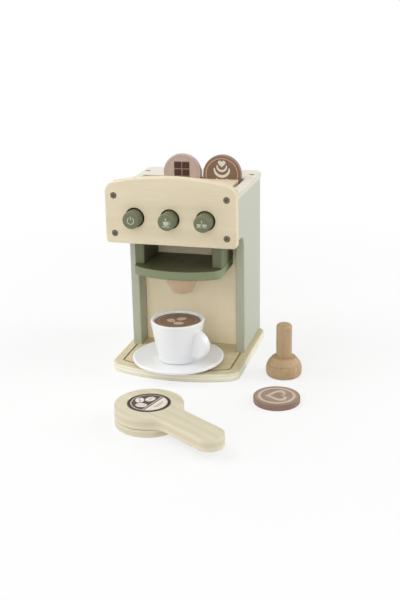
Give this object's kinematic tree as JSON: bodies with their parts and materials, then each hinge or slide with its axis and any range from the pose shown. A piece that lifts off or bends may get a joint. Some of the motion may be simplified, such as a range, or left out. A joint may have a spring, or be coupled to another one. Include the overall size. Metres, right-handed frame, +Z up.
{
  "type": "toy coffee maker",
  "caption": "Wooden toy coffee maker with press buttons, a disc rack, a portafilter holder, a cup on a saucer, coffee discs, a portafilter and a tamper.",
  "frame": {"origin": "middle of the base board's underside, on the floor", "axes": "+X to the machine's right as seen from the front, +Y to the rear, +Z up"},
  "size_m": [0.248, 0.3665, 0.258],
  "materials": {
    "birch_board": "satin clear lacquer on pale plywood",
    "pale_green_paint": "matt paint on wood",
    "olive_green_paint": "matt paint on wood",
    "white_paint": "satin paint on turned wood",
    "brown_wood": "matt stained and printed wood",
    "beech": "oiled turned wood",
    "dark_screw": "dark coated steel",
    "spring_steel": "spring wire"
  },
  "bodies": {
    "machine": {"base_board": "birch_board", "base_screws": "dark_screw", "left_side_panel": "pale_green_paint", "right_side_panel": "pale_green_paint", "front_board": "birch_board", "front_screws": "dark_screw", "top_panel": "birch_board", "top_screws": "dark_screw", "bay_back_board": "birch_board", "rear_panel": "birch_board", "head_floor": "birch_board", "spring_board": "birch_board", "disc_shelf": "birch_board", "rack_block": "birch_board", "holder_plate": "olive_green_paint", "holder_left_cheek": "olive_green_paint", "holder_right_cheek": "olive_green_paint", "spout": "brown_wood", "spout_screw": "dark_screw", "power_spring": "spring_steel", "single_spring": "spring_steel", "double_spring": "spring_steel"},
    "power_button": {"power_button": "olive_green_paint"},
    "single_button": {"single_button": "olive_green_paint"},
    "double_button": {"double_button": "olive_green_paint"},
    "chocolate_disc": {"chocolate_disc": "brown_wood"},
    "latte_disc": {"latte_disc": "brown_wood"},
    "saucer": {"saucer": "white_paint"},
    "cup": {"cup": "white_paint", "cup_handle": "white_paint"},
    "cup_disc": {"cup_disc": "brown_wood"},
    "portafilter": {"portafilter_board": "birch_board", "portafilter_puck": "birch_board"},
    "bean_disc": {"bean_disc": "brown_wood"},
    "heart_disc": {"heart_disc": "brown_wood"},
    "tamper": {"tamper_handle": "beech", "tamper_foot": "beech"}
  },
  "joints": [
    {"name": "power_button_press", "type": "slide", "parent": "machine", "child": "power_button", "axis": [0, 1, 0], "range_m": [0, 0.005], "stiffness_N_per_m": 150, "springref_m": -0.004, "deforming": ["power_spring"]},
    {"name": "single_button_press", "type": "slide", "parent": "machine", "child": "single_button", "axis": [0, 1, 0], "range_m": [0, 0.005], "stiffness_N_per_m": 150, "springref_m": -0.004, "deforming": ["single_spring"]},
    {"name": "double_button_press", "type": "slide", "parent": "machine", "child": "double_button", "axis": [0, 1, 0], "range_m": [0, 0.005], "stiffness_N_per_m": 150, "springref_m": -0.004, "deforming": ["double_spring"]},
    {"name": "chocolate_disc_lift", "type": "slide", "parent": "machine", "child": "chocolate_disc", "axis": [0, 0, 1], "range_m": [0, 0.045]},
    {"name": "latte_disc_lift", "type": "slide", "parent": "machine", "child": "latte_disc", "axis": [0, 0, 1], "range_m": [0, 0.045]},
    {"name": "saucer_slide_out", "type": "slide", "parent": "machine", "child": "saucer", "axis": [0, -1, 0], "range_m": [0, 0.04]},
    {"name": "cup_lift", "type": "slide", "parent": "saucer", "child": "cup", "axis": [0, 0, 1], "range_m": [0, 0.015]},
    {"name": "cup_disc_lift", "type": "slide", "parent": "cup", "child": "cup_disc", "axis": [0, 0, 1], "range_m": [0, 0.006]},
    {"name": "portafilter_lift", "type": "slide", "parent": "machine", "child": "portafilter", "axis": [0, 0, 1], "range_m": [0, 0.06]},
    {"name": "bean_disc_lift", "type": "slide", "parent": "portafilter", "child": "bean_disc", "axis": [0, 0, 1], "range_m": [0, 0.02]},
    {"name": "heart_disc_lift", "type": "slide", "parent": "machine", "child": "heart_disc", "axis": [0, 0, 1], "range_m": [0, 0.04]},
    {"name": "tamper_lift", "type": "slide", "parent": "machine", "child": "tamper", "axis": [0, 0, 1], "range_m": [0, 0.06]}
  ]
}
